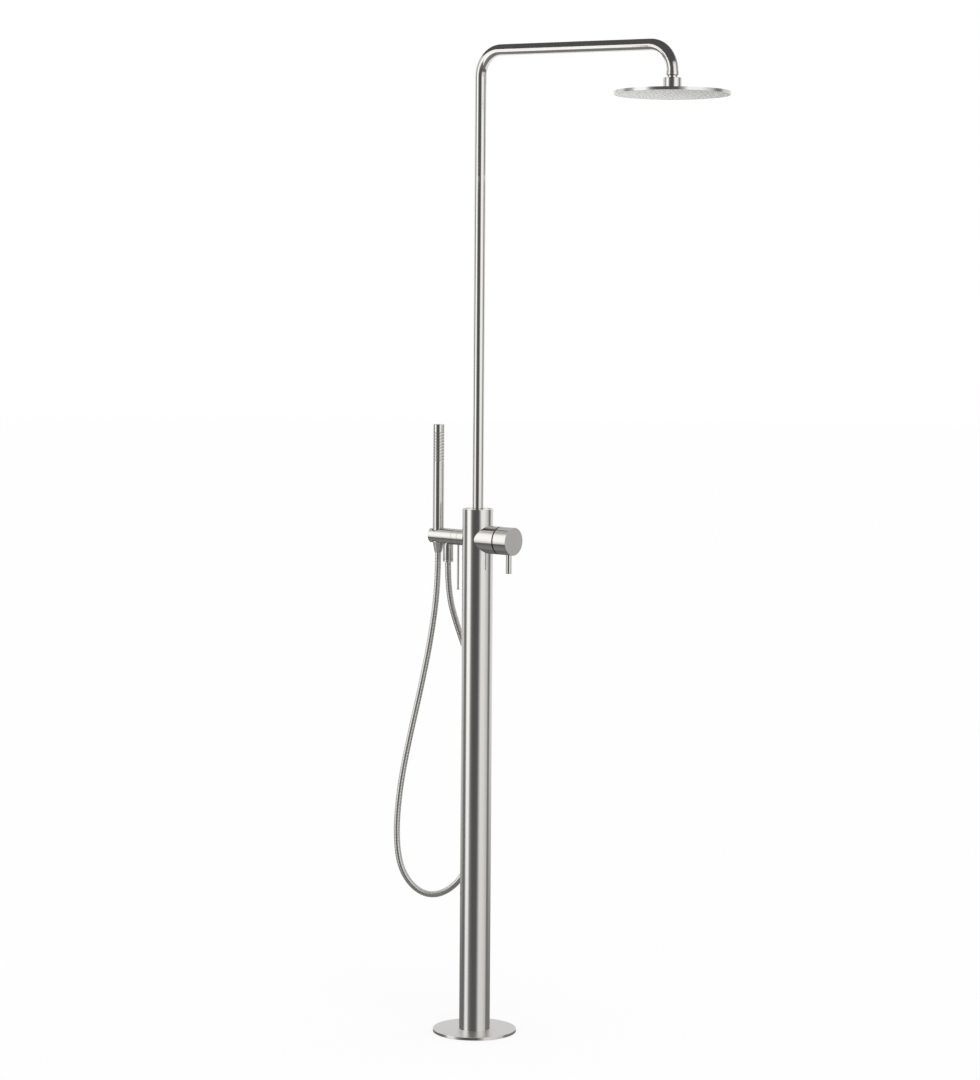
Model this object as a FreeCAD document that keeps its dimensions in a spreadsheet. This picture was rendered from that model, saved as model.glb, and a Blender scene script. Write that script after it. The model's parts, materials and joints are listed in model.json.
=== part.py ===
import FreeCAD, Part
import Sketcher
import math
import os
import re

Vector = FreeCAD.Vector
doc = FreeCAD.newDocument("outdoor_shower_post")

# ---------------------------------------------------------------- driving sizes, in mm
# Heights are measured from the floor. A reach is measured level, from the column's centre line:
# to the front (-Y) for the arm and the mixer, to the rear (+Y) for the holder bar.
SIZES = {
    # base
    "base_diameter": 190,
    "cover_sheet": 1.2,
    "cover_bevel": 0.5,
    "flange_margin": 5.8,
    "flange_thickness": 5,
    "flange_opening": 58,
    "anchor_inset": 18,
    "anchor_hole": 9,
    "anchor_sink": 17,
    "anchor_count": 4,
    # column
    "column_diameter": 70,
    "column_wall": 2,
    "cap_thickness": 4,
    "cap_recess": 0.8,
    "cap_room": 11.2,
    # riser and arm, one bent tube, and its socket in the column's top
    "tube_diameter": 25,
    "tube_wall": 1.5,
    "tube_bend": 58,
    "riser_rise": 1024,
    "arm_reach": 530,
    "arm_end_run": 6.5,
    "socket_lift": 7,
    "socket_height": 20,
    "socket_ledge": 4,
    "seal_section": 2,
    "seal_lift": 8,
    "feed_diameter": 16,
    "feed_wall": 1.5,
    "feed_entry": 4,
    # water supply inside the column
    "supply_diameter": 14,
    "supply_wall": 1.2,
    "supply_entry": 8,
    "supply_way": 10,
    "supply_way_drop": 10,
    "inlet_foot": 12,
    "inlet_height": 46,
    "inlet_diameter": 25,
    "inlet_gap": 3,
    "inlet_thread": 19,
    "inlet_thread_depth": 15,
    "inlet_socket": 12,
    "bracket_thickness": 3,
    # mixer, on the front of the column, sized from its cartridge outwards
    "valve_height": 1132,
    "mixer_wall": 3,
    "mixer_reach": 65.5,
    "handle_gap": 3,
    "handle_length": 36.5,
    "handle_wall": 2.5,
    "handle_face": 4,
    "handle_bevel": 0.6,
    "hub_diameter": 22,
    "hub_length": 29,
    "core_wall": 3.5,
    "core_gap": 3.5,
    "core_recess": 3.5,
    "core_rear": 20,
    "cartridge_diameter": 40,
    "cartridge_length": 26,
    "cartridge_foot": 28.2,
    "cartridge_shoulder": 1.5,
    "cartridge_neck": 24,
    "cartridge_neck_length": 10,
    "spindle_diameter": 12,
    "spindle_seat": 27.8,
    "spindle_length": 28,
    "lever_diameter": 13,
    "lever_inset": 22.5,
    "lever_drop": 73,
    "lever_thread": 6,
    "lever_sink": 1,
    # holder bar, on the rear of the column, sized from its root outwards
    "bar_diameter": 36,
    "bar_wall": 3,
    "bar_sleeve_reach": 48,
    "bar_spigot_diameter": 16,
    "bar_waterway": 11,
    "collar_length": 17,
    "collar_gap": 0.5,
    "spool_diameter": 18,
    "spool_inset": 1.5,
    "diverter_pin_diameter": 5,
    "diverter_foot_diameter": 6,
    "diverter_foot_length": 4,
    "diverter_drop": 120,
    "diverter_turn": 90,
    "diverter_margin": 20,
    # hose outlet under the bar
    "outlet_run": 21,
    "outlet_thread": 18.6,
    "outlet_bore": 12,
    "outlet_land": 1.5,
    "outlet_spigot_drop": 36,
    "outlet_nut_wall": 2.4,
    "outlet_nut_drop": 58,
    "washer_thickness": 2,
    "valve_insert_length": 10,
    # handset and its place in the bar
    "hose_spread": 5,
    "holder_end": 17,
    "handset_diameter": 26,
    "handset_wall": 1.5,
    "handset_rise": 254,
    "handset_cap_height": 3,
    "handset_cap_plug": 5,
    "handset_cap_bevel": 0.8,
    "handset_foot_drop": 1.2,
    "liner_wall": 1.2,
    "hose_slot": 16,
    "cone_drop": 30,
    "cone_shoulder_drop": 14,
    "cone_tip_diameter": 19.5,
    "inlet_shoulder": 1.5,
    "inlet_spigot_drop": 16.7,
    "inlet_plug_height": 18,
    "inner_tube_diameter": 16,
    "inner_tube_wall": 1.5,
    # ring grooves round the handset's top, with the spray nozzles in their front
    "groove_drop": 20,
    "groove_pitch": 6.9,
    "groove_width": 3.4,
    "groove_floor": 1.4,
    "groove_depth": 0.8,
    "groove_count": 10,
    "spray_strip_sheet": 1,
    "spray_end_margin": 3,
    "spray_side_margin": 2,
    "spray_nozzle_diameter": 1.2,
    "spray_nozzle_rise": 0.4,
    "spray_spacing": 3,
    "spray_columns": 5,
    # hose
    "hose_diameter": 14.5,
    "hose_end_bore": 10,
    # swivel between arm and shower head
    "ball_diameter": 30.6,
    "ball_drop": 15.5,
    "neck_step": 4.3,
    "neck_swing": 3.25,
    "stem_clearance": 1.6,
    "stem_bore": 10,
    "stem_thread_length": 12,
    "ferrule_wall": 1,
    "ferrule_height": 9,
    "ferrule_floor": 2.5,
    "ferrule_round": 1.5,
    "collar_nut_wall": 1.8,
    "seat_wall": 1.8,
    "seat_land": 2.5,
    "seat_gap": 5,
    # shower head, which leans on its ball towards the side that "head_lean_side" gives
    "head_lean": 2.8,
    "head_lean_side": -50.5,
    "head_diameter": 250,
    "head_depth": 14.6,
    "head_rim": 6.6,
    "head_sheet": 1.2,
    "crown_lip": 10.5,
    "boss_lip": 2.5,
    "boss_drop": 9.7,
    "boss_rise": 0.8,
    "boss_bore": 26.4,
    "boss_flange": 5,
    "boss_floor": 2,
    "face_thickness": 1.5,
    "face_inset": 0.3,
    "mat_thickness": 1.5,
    "mat_margin": 6,
    "nozzle_diameter": 4.2,
    "nozzle_tip_diameter": 2.8,
    "nozzle_drop": 1.6,
    "nozzle_margin": 5,
    "nozzle_rings": 6,
    # clearances
    "press_gap": 0.05,
    "thread_gap": 0.3,
    "running_gap": 0.3,
    "edge_break": 0.4,
}

# Values that follow from the driving sizes, and from each other.
DERIVED = {
    "base_height": "flange_thickness + running_gap + cover_sheet",
    "flange_diameter": "base_diameter - 2 * cover_sheet - 2 * flange_margin",
    "anchor_circle": "flange_diameter - 2 * anchor_inset",
    "supply_spacing": "inlet_diameter + inlet_gap",
    "cartridge_thread": "cartridge_diameter + 2 * cartridge_shoulder",
    "core_diameter": "cartridge_thread + 2 * core_wall",
    "core_radius": "core_diameter / 2",
    "core_front": "mixer_reach - core_recess",
    "core_length": "core_front + core_rear",
    "cartridge_nut_length": "core_front - cartridge_foot - cartridge_length",
    "spindle_foot": "cartridge_foot + spindle_seat",
    "mixer_diameter": "core_diameter + 2 * core_gap + 2 * mixer_wall",
    "handle_foot": "mixer_reach + handle_gap",
    "hub_foot": "handle_length - handle_face - hub_length",
    "lever_reach": "handle_foot + lever_inset",
    "lever_seat": "mixer_diameter / 2 - handle_wall - lever_sink",
    "socket_foot": "valve_height + core_radius + socket_lift",
    "socket_top": "socket_foot + socket_height",
    "column_inside": "column_diameter - 2 * column_wall",
    "column_top": "socket_top + cap_room + cap_thickness + cap_recess",
    "tube_inside": "tube_diameter - 2 * tube_wall",
    "arm_height": "column_top + riser_rise",
    "arm_end": "arm_height - tube_bend - arm_end_run",
    "bar_core_diameter": "bar_diameter - 2 * bar_wall",
    "collar_foot": "bar_sleeve_reach + collar_gap",
    "collar_middle": "collar_foot + collar_length / 2",
    "spool_length": "collar_length - 2 * spool_inset",
    "bar_foot": "collar_foot + collar_length + collar_gap",
    "bar_spigot_length": "outlet_run - outlet_thread / 2 - 2 * outlet_land",
    "outlet_reach": "bar_foot + outlet_run",
    "outlet_nut_diameter": "outlet_thread + 2 * thread_gap + 2 * outlet_nut_wall",
    "outlet_foot": "valve_height - outlet_nut_drop",
    "handset_reach": "outlet_reach + outlet_nut_diameter / 2 + hose_spread + handset_diameter / 2",
    "handset_inside": "handset_diameter - 2 * handset_wall",
    "handset_room": "handset_diameter + 2 * running_gap",
    "handset_foot": "valve_height - handset_foot_drop",
    "handset_top": "valve_height + handset_rise",
    "handset_length": "handset_rise + handset_foot_drop - handset_cap_height",
    "inlet_spigot_diameter": "handset_inside - 2 * inlet_shoulder",
    "bar_reach": "handset_reach + holder_end",
    "cone_foot": "valve_height - cone_drop",
    "cone_top": "handset_foot - running_gap",
    "cone_lean": "(handset_diameter - cone_tip_diameter) / (cone_drop - cone_shoulder_drop)",
    "groove_level": "handset_rise + handset_foot_drop - groove_drop",
    "spray_height": "(groove_count - 1) * groove_pitch",
    "spray_strip_length": "spray_height + 2 * spray_end_margin",
    "spray_strip_width": "(spray_columns - 1) * spray_spacing + 2 * spray_side_margin",
    "stem_thread_diameter": "tube_inside - 2 * stem_clearance",
    "stem_neck_diameter": "ball_diameter - 2 * neck_step",
    "ferrule_diameter": "tube_diameter + 2 * ferrule_wall",
    "ferrule_foot": "arm_end - ferrule_floor",
    "ball_height": "ferrule_foot - ball_drop",
    "ball_cut": "boss_drop - 4 * press_gap",
    "ball_seat_radius": "ball_diameter / 2 + running_gap",
    "nut_seat_radius": "ball_seat_radius + seat_wall + running_gap",
    "nut_foot": "boss_top + running_gap / 2",
    "nut_opening": "stem_neck_diameter + 2 * neck_swing",
    "collar_nut_diameter": "2 * (nut_seat_radius + collar_nut_wall)",
    "collar_nut_rise": "sqrt(nut_seat_radius ^ 2 - (nut_opening / 2) ^ 2)",
    "seat_top": "collar_nut_rise - seat_land",
    "boss_top": "ball_height - boss_drop",
    "boss_diameter": "collar_nut_diameter + 2 * boss_lip",
    "boss_foot": "head_crown - head_sheet - boss_flange",
    "crown_diameter": "collar_nut_diameter + 2 * crown_lip",
    "head_crown": "boss_top - boss_rise",
    "head_foot": "head_crown - head_depth",
    "mat_diameter": "head_diameter - 2 * mat_margin",
    "nozzle_ring_pitch": "(mat_diameter / 2 - nozzle_margin) / nozzle_rings",
}

# The hose's route from the handset to the outlet, in mm. It hangs in one loop: down on the
# left of the column, and up again behind it. The first and last points are its two ends.
HOSE_ROUTE = (
    (0, 117, 1102),
    (0, 117, 1020),
    (-10, 127, 905),
    (-26, 143, 788),
    (-43, 163, 670),
    (-57, 179, 559),
    (-63, 186, 454),
    (-60, 179, 375),
    (-44, 159, 326),
    (-21, 130, 301),
    (4, 98, 305),
    (29, 66, 339),
    (48, 41, 405),
    (63, 23, 496),
    (66, 18, 608),
    (59, 25, 719),
    (41, 44, 825),
    (16, 71, 922),
    (0, 87, 1004),
    (0, 87, 1074),
)

# ---------------------------------------------------------------- sheet and formulas
sheet = doc.addObject("Spreadsheet::Sheet", "sizes")
for row, (name, number) in enumerate(SIZES.items(), start=1):
    sheet.set("A%d" % row, name)
    sheet.set("B%d" % row, str(number))
    sheet.setAlias("B%d" % row, name)
doc.recompute()


def formula(text):
    """The text with every size's name turned into its cell, or into its own formula."""

    def word(match):
        name = match.group(0)
        if name in DERIVED:
            return "(%s)" % formula(DERIVED[name])
        return "sizes." + name if name in SIZES else name

    return re.sub(r"[a-z_]+", word, text)


def value(text):
    """The number that a formula gives now."""
    result = sheet.evalExpression(formula(text))
    return float(getattr(result, "Value", result))


def bind(item, **settings):
    """Ties properties of an object to formulas."""
    for name, text in settings.items():
        item.setExpression(name, formula(text))
    return item


# ---------------------------------------------------------------- modelling helpers
TURNS = {
    "up": FreeCAD.Rotation(),
    "down": FreeCAD.Rotation(Vector(1, 0, 0), 180),
    "front": FreeCAD.Rotation(Vector(1, 0, 0), 90),
    "rear": FreeCAD.Rotation(Vector(1, 0, 0), -90),
}
HOME = ("0", "0", "0")


def place(item, at=HOME, along="up"):
    """Puts an object's own origin at a point given by formulas, its own Z pointing along."""
    item.Placement = FreeCAD.Placement(Vector(), TURNS[along])
    for axis, text in zip("xyz", at):
        item.setExpression("Placement.Base." + axis, formula(text))
    return item


def cylinder(name, diameter, height, at=HOME, along="up"):
    item = doc.addObject("Part::Cylinder", name)
    bind(item, Radius="(%s) / 2" % diameter, Height=height)
    return place(item, at, along)


def sphere(name, diameter, at=HOME):
    item = doc.addObject("Part::Sphere", name)
    bind(item, Radius="(%s) / 2" % diameter)
    return place(item, at)


def box(name, size, at=HOME):
    item = doc.addObject("Part::Box", name)
    bind(item, Length=size[0], Width=size[1], Height=size[2])
    return place(item, at)


def cut(name, base, *tools):
    """The base with each tool taken out of it in turn."""
    for number, tool in enumerate(tools, start=1):
        label = name if number == len(tools) else "%s_cut_%d" % (name, number)
        item = doc.addObject("Part::Cut", label)
        item.Base = base
        item.Tool = tool
        base = item
    return base


def fuse(name, *pieces):
    item = doc.addObject("Part::MultiFuse", name)
    item.Shapes = list(pieces)
    return item


def common(name, *pieces):
    item = doc.addObject("Part::MultiCommon", name)
    item.Shapes = list(pieces)
    return item


def pipe(name, outside, inside, height, at=HOME, along="up"):
    """A straight tube from its outside and inside diameters."""
    outer = cylinder(name + "_outside", outside, height, at, along)
    inner = cylinder(name + "_inside", inside, height, at, along)
    return cut(name, outer, inner)


def turned(name, outline, at=HOME, along="up"):
    """A piece turned on a lathe. The outline's corners are (diameter, height) on its own axis."""
    body = doc.addObject("PartDesign::Body", name)
    sketch = body.newObject("Sketcher::SketchObject", name + "_outline")
    plane = [part for part in body.Origin.OriginFeatures if part.Role == "XZ_Plane"][0]
    sketch.AttachmentSupport = [(plane, "")]
    sketch.MapMode = "FlatFace"
    corners = [("(%s) / 2" % across, height) for across, height in outline]
    points = [Vector(value(across), value(height), 0) for across, height in corners]
    last = len(points) - 1
    for number, point in enumerate(points):
        following = points[0 if number == last else number + 1]
        sketch.addGeometry(Part.LineSegment(point, following), False)
    for number in range(len(points)):
        following = 0 if number == last else number + 1
        sketch.addConstraint(Sketcher.Constraint("Coincident", number, 2, following, 1))
    for number, (across, height) in enumerate(corners):
        for kind, text, axis in (("DistanceX", across, -2), ("DistanceY", height, -1)):
            if abs(value(text)) < 1e-9:
                sketch.addConstraint(Sketcher.Constraint("PointOnObject", number, 1, axis))
                continue
            rule = Sketcher.Constraint(kind, -1, 1, number, 1, value(text))
            index = sketch.addConstraint(rule)
            label = "%s_%d" % ("across" if axis == -2 else "height", number)
            sketch.renameConstraint(index, label)
            sketch.setExpression("Constraints." + label, formula(text))
    solid = body.newObject("PartDesign::Revolution", name + "_turned")
    solid.Profile = sketch
    solid.ReferenceAxis = (sketch, ["V_Axis"])
    solid.Angle = 360
    sketch.Visibility = False
    return place(body, at, along)


def feature(name, shape):
    """A piece whose shape is worked out below from the same sizes."""
    item = doc.addObject("Part::Feature", name)
    item.Shape = shape
    return item


def rounded_path(points, radii):
    """Straight runs joined by tangent arcs, one arc at each inner point."""
    edges, start = [], points[0]
    for before, corner, after, radius in zip(points, points[1:], points[2:], radii):
        into = (corner - before).normalize()
        out = (after - corner).normalize()
        half = into.getAngle(out) / 2
        reach = radius * math.tan(half)
        first, end = corner - into * reach, corner + out * reach
        bisector = (out - into).normalize()
        middle = corner + bisector * (radius / math.cos(half) - radius)
        edges += [Part.LineSegment(start, first).toShape(), Part.Arc(first, middle, end).toShape()]
        start = end
    edges.append(Part.LineSegment(start, points[-1]).toShape())
    return Part.Wire(edges)


def rod_along(path, start, direction, radius):
    """A round rod along a path."""
    ring = Part.Wire(Part.Circle(start, direction, radius).toShape())
    return path.makePipeShell([ring], True, False)


# ---------------------------------------------------------------- base
def anchor_tools():
    """The countersunk holes of the floor fixing, on a circle."""
    tools = []
    radius = value("anchor_circle / 2")
    count = int(value("anchor_count"))
    depth = value("(anchor_sink - anchor_hole) / 2")
    top = value("flange_thickness")
    for number in range(count):
        angle = math.radians(360 * (number + 0.5) / count)
        spot = Vector(radius * math.cos(angle), radius * math.sin(angle), 0)
        tools.append(Part.makeCylinder(value("anchor_hole / 2"), top, spot))
        sink = (value("anchor_hole / 2"), value("anchor_sink / 2"), depth)
        tools.append(Part.makeCone(*sink, spot + Vector(0, 0, top - depth)))
    return tools


def make_base():
    plate = Part.makeCylinder(value("flange_diameter / 2"), value("flange_thickness"))
    opening = Part.makeCylinder(value("flange_opening / 2"), value("flange_thickness"))
    flange = feature("base_flange", plate.cut([opening] + anchor_tools()))
    hole = "column_diameter + 2 * running_gap"
    cover = turned(
        "base_cover",
        (
            (hole, "base_height - cover_sheet"),
            ("base_diameter - 2 * cover_sheet", "base_height - cover_sheet"),
            ("base_diameter - 2 * cover_sheet", "0"),
            ("base_diameter", "0"),
            ("base_diameter", "base_height - cover_bevel"),
            ("base_diameter - 2 * cover_bevel", "base_height"),
            (hole, "base_height"),
        ),
    )
    return [flange, cover]


# ---------------------------------------------------------------- column and what it holds
def make_column():
    foot = ("0", "0", "flange_thickness")
    length = "column_top - flange_thickness"
    skin = pipe("column_skin", "column_diameter", "column_inside", length, foot)
    axis = ("0", "0", "valve_height")
    front = cylinder("mixer_opening", "core_diameter + 2 * press_gap", "column_diameter", axis, "front")
    rear = cylinder("bar_opening", "bar_core_diameter + 2 * press_gap", "column_diameter", axis, "rear")
    tube = cut("column_tube", skin, front, rear)
    cap = pipe(
        "column_cap",
        "column_inside - 2 * press_gap",
        "tube_diameter + 2 * press_gap",
        "cap_thickness",
        ("0", "0", "column_top - cap_recess - cap_thickness"),
    )
    socket = turned(
        "riser_socket",
        (
            ("feed_diameter + 2 * press_gap", "socket_foot"),
            ("column_inside - 2 * press_gap", "socket_foot"),
            ("column_inside - 2 * press_gap", "socket_top"),
            ("tube_diameter + 2 * press_gap", "socket_top"),
            ("tube_diameter + 2 * press_gap", "socket_foot + seal_lift + seal_section"),
            ("tube_diameter + 2 * seal_section", "socket_foot + seal_lift + seal_section"),
            ("tube_diameter + 2 * seal_section", "socket_foot + seal_lift"),
            ("tube_diameter + 2 * press_gap", "socket_foot + seal_lift"),
            ("tube_diameter + 2 * press_gap", "socket_foot + socket_ledge"),
            ("feed_diameter + 2 * press_gap", "socket_foot + socket_ledge"),
        ),
    )
    seal = pipe(
        "riser_seal",
        "tube_diameter + 2 * seal_section - 2 * press_gap",
        "tube_diameter + 2 * press_gap",
        "seal_section - 2 * press_gap",
        ("0", "0", "socket_foot + seal_lift + press_gap"),
    )
    feed_foot = "valve_height + core_radius - feed_entry"
    feed = pipe(
        "riser_feed_pipe",
        "feed_diameter",
        "feed_diameter - 2 * feed_wall",
        "socket_foot + socket_ledge - (%s)" % feed_foot,
        ("0", "0", feed_foot),
    )
    return [tube, cap, socket, seal, feed]


def make_supply():
    """Two supply pipes inside the column, their inlet nuts, and the bracket that steadies them."""
    pieces, holes = [], []
    level = "inlet_foot + inlet_height"
    for side, name in ((1, "hot"), (-1, "cold")):
        across = "%d * supply_spacing / 2" % side
        foot = "inlet_foot + inlet_height - inlet_socket"
        top = "valve_height - core_radius + supply_entry"
        pieces.append(
            pipe(
                name + "_supply_pipe",
                "supply_diameter",
                "supply_diameter - 2 * supply_wall",
                "%s - (%s)" % (top, foot),
                (across, "0", foot),
            )
        )
        pieces.append(
            turned(
                name + "_inlet_nut",
                (
                    ("inlet_thread", "0"),
                    ("inlet_diameter", "0"),
                    ("inlet_diameter", "inlet_height"),
                    ("supply_diameter + 2 * press_gap", "inlet_height"),
                    ("supply_diameter + 2 * press_gap", "inlet_height - inlet_socket"),
                    ("supply_diameter - 2 * supply_wall", "inlet_height - inlet_socket"),
                    ("supply_diameter - 2 * supply_wall", "inlet_thread_depth"),
                    ("inlet_thread", "inlet_thread_depth"),
                ),
                (across, "0", "inlet_foot"),
            )
        )
        hole = (across, "0", level)
        room = "supply_diameter + 2 * press_gap"
        holes.append(cylinder(name + "_bracket_hole", room, "bracket_thickness", hole))
    disc = cylinder(
        "bracket_disc", "column_inside - 2 * press_gap", "bracket_thickness", ("0", "0", level)
    )
    pieces.append(cut("inlet_bracket", disc, *holes))
    return pieces


# ---------------------------------------------------------------- riser, arm and its end
def make_arm():
    foot = Vector(0, 0, value("socket_foot + socket_ledge"))
    end = Vector(0, -value("arm_reach"), value("arm_end"))
    height = value("arm_height")
    corners = [foot, Vector(0, 0, height), Vector(0, end.y, height), end]
    path = rounded_path(corners, [value("tube_bend")] * 2)
    skin = rod_along(path, foot, Vector(0, 0, 1), value("tube_diameter / 2"))
    bore = rod_along(path, foot, Vector(0, 0, 1), value("tube_inside / 2"))
    tube = feature("riser_arm_tube", skin.cut(bore))
    ferrule = turned(
        "arm_ferrule",
        (
            ("stem_thread_diameter + 2 * press_gap", "0"),
            ("ferrule_diameter - 2 * ferrule_round", "0"),
            ("ferrule_diameter - 0.6 * ferrule_round", "0.3 * ferrule_round"),
            ("ferrule_diameter", "ferrule_round"),
            ("ferrule_diameter", "ferrule_height - edge_break"),
            ("ferrule_diameter - 2 * edge_break", "ferrule_height"),
            ("tube_diameter + 2 * press_gap", "ferrule_height"),
            ("tube_diameter + 2 * press_gap", "ferrule_floor"),
            ("stem_thread_diameter + 2 * press_gap", "ferrule_floor"),
        ),
        ("0", "-arm_reach", "ferrule_foot"),
    )
    return [tube, ferrule]


def leant(level_pieces):
    """Pieces of the shower head as it hangs, turned together about the ball's centre."""
    doc.recompute()
    centre = Vector(0, -value("arm_reach"), value("ball_height"))
    side = math.radians(value("head_lean_side"))
    hinge = Vector(math.cos(side), math.sin(side), 0)
    pieces = []
    for level in level_pieces:
        shape = level.Shape.copy()
        shape.rotate(centre, hinge, -value("head_lean"))
        pieces.append(feature(level.Label.replace("_level", ""), shape))
    return pieces


def make_swivel():
    """The ball on the arm's end, and the two rings that it turns in."""
    centre = ("0", "-arm_reach", "ball_height")
    ball = sphere("stem_ball", "ball_diameter", centre)
    waste = cylinder(
        "stem_ball_waste",
        "1.1 * ball_diameter",
        "ball_diameter",
        ("0", "-arm_reach", "ball_height - ball_cut - ball_diameter"),
    )
    neck = cylinder("stem_neck", "stem_neck_diameter", "ferrule_foot - ball_height", centre)
    thread = cylinder(
        "stem_thread",
        "stem_thread_diameter",
        "stem_thread_length + ferrule_foot - ball_height",
        centre,
    )
    solid = fuse("stem_solid", ball, neck, thread)
    bore = cylinder(
        "stem_waterway",
        "stem_bore",
        "2 * ball_diameter + ferrule_foot - ball_height",
        ("0", "-arm_reach", "ball_height - ball_diameter"),
    )
    stem = cut("ball_stem", solid, waste, bore)
    rings = []
    for name, low, high in (
        ("ball_seat", "seat_gap / 2", "seat_top"),
        ("ball_seal", "nut_foot - ball_height + running_gap", "-seat_gap / 2"),
    ):
        outer = sphere(name + "_outside", "2 * (ball_seat_radius + seat_wall)", centre)
        inner = sphere(name + "_inside", "2 * ball_seat_radius", centre)
        slab = cylinder(
            name + "_slab",
            "3 * ball_seat_radius",
            "%s - (%s)" % (high, low),
            ("0", "-arm_reach", "ball_height + %s" % low),
        )
        rings.append(cut(name + "_level", common(name + "_zone", outer, slab), inner))
    return [stem] + leant(rings)


# ---------------------------------------------------------------- shower head
def nozzle_spots():
    """Centres of the spray nozzles, ring by ring, with six more in each ring."""
    spots = []
    pitch = value("nozzle_ring_pitch")
    for ring in range(1, int(value("nozzle_rings")) + 1):
        for number in range(6 * ring):
            angle = 2 * math.pi * number / (6 * ring)
            spots.append((pitch * ring * math.cos(angle), pitch * ring * math.sin(angle)))
    return spots


def make_head():
    centre = ("0", "-arm_reach", "0")
    nut_solid = cylinder(
        "collar_nut_solid",
        "collar_nut_diameter",
        "ball_height + collar_nut_rise - nut_foot",
        ("0", "-arm_reach", "nut_foot"),
    )
    nut_ball = sphere("collar_nut_room", "2 * nut_seat_radius", ("0", "-arm_reach", "ball_height"))
    nut_bore = cylinder(
        "collar_nut_thread",
        "2 * nut_seat_radius",
        "ball_height - nut_foot",
        ("0", "-arm_reach", "nut_foot"),
    )
    nut = cut("collar_nut_level", nut_solid, nut_ball, nut_bore)
    boss = turned(
        "head_boss_level",
        (
            ("stem_bore", "boss_foot"),
            ("boss_diameter", "boss_foot"),
            ("boss_diameter", "head_crown - head_sheet"),
            ("collar_nut_diameter", "head_crown - head_sheet"),
            ("collar_nut_diameter", "boss_top"),
            ("boss_bore", "boss_top"),
            ("boss_bore", "boss_foot + boss_floor"),
            ("stem_bore", "boss_foot + boss_floor"),
        ),
        centre,
    )
    rim_top = "head_foot + head_rim"
    shell = turned(
        "head_shell_level",
        (
            ("head_diameter - 2 * head_sheet", "head_foot"),
            ("head_diameter", "head_foot"),
            ("head_diameter", rim_top),
            ("crown_diameter", "head_crown"),
            ("collar_nut_diameter + 2 * press_gap", "head_crown"),
            ("collar_nut_diameter + 2 * press_gap", "head_crown - head_sheet"),
            ("crown_diameter", "head_crown - head_sheet"),
            ("head_diameter - 2 * head_sheet", "%s - head_sheet" % rim_top),
        ),
        centre,
    )
    level = value("head_foot + face_inset")
    thickness = value("face_thickness")
    middle = Vector(0, -value("arm_reach"), 0)
    plate = Part.makeCylinder(
        value("head_diameter / 2 - head_sheet - press_gap"), thickness, middle + Vector(0, 0, level)
    )
    gap = value("press_gap")
    holes, nipples = [], []
    for across, along in nozzle_spots():
        spot = middle + Vector(across, along, level)
        holes.append(Part.makeCylinder(value("nozzle_diameter / 2 + press_gap"), thickness, spot))
        shank = Part.makeCylinder(value("nozzle_diameter / 2"), thickness + 2 * gap, spot)
        tip_foot = spot - Vector(0, 0, value("nozzle_drop"))
        tip_size = (value("nozzle_tip_diameter / 2"), value("nozzle_diameter / 2"), value("nozzle_drop"))
        nipples.append(shank.fuse(Part.makeCone(*tip_size, tip_foot)))
    face = feature("head_face_level", plate.cut(holes))
    mat = Part.makeCylinder(
        value("mat_diameter / 2"), value("mat_thickness"), middle + Vector(0, 0, level + thickness + gap)
    )
    mat = feature("head_nozzle_mat_level", mat.fuse(nipples))
    return leant([nut, boss, shell, face, mat])


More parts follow.
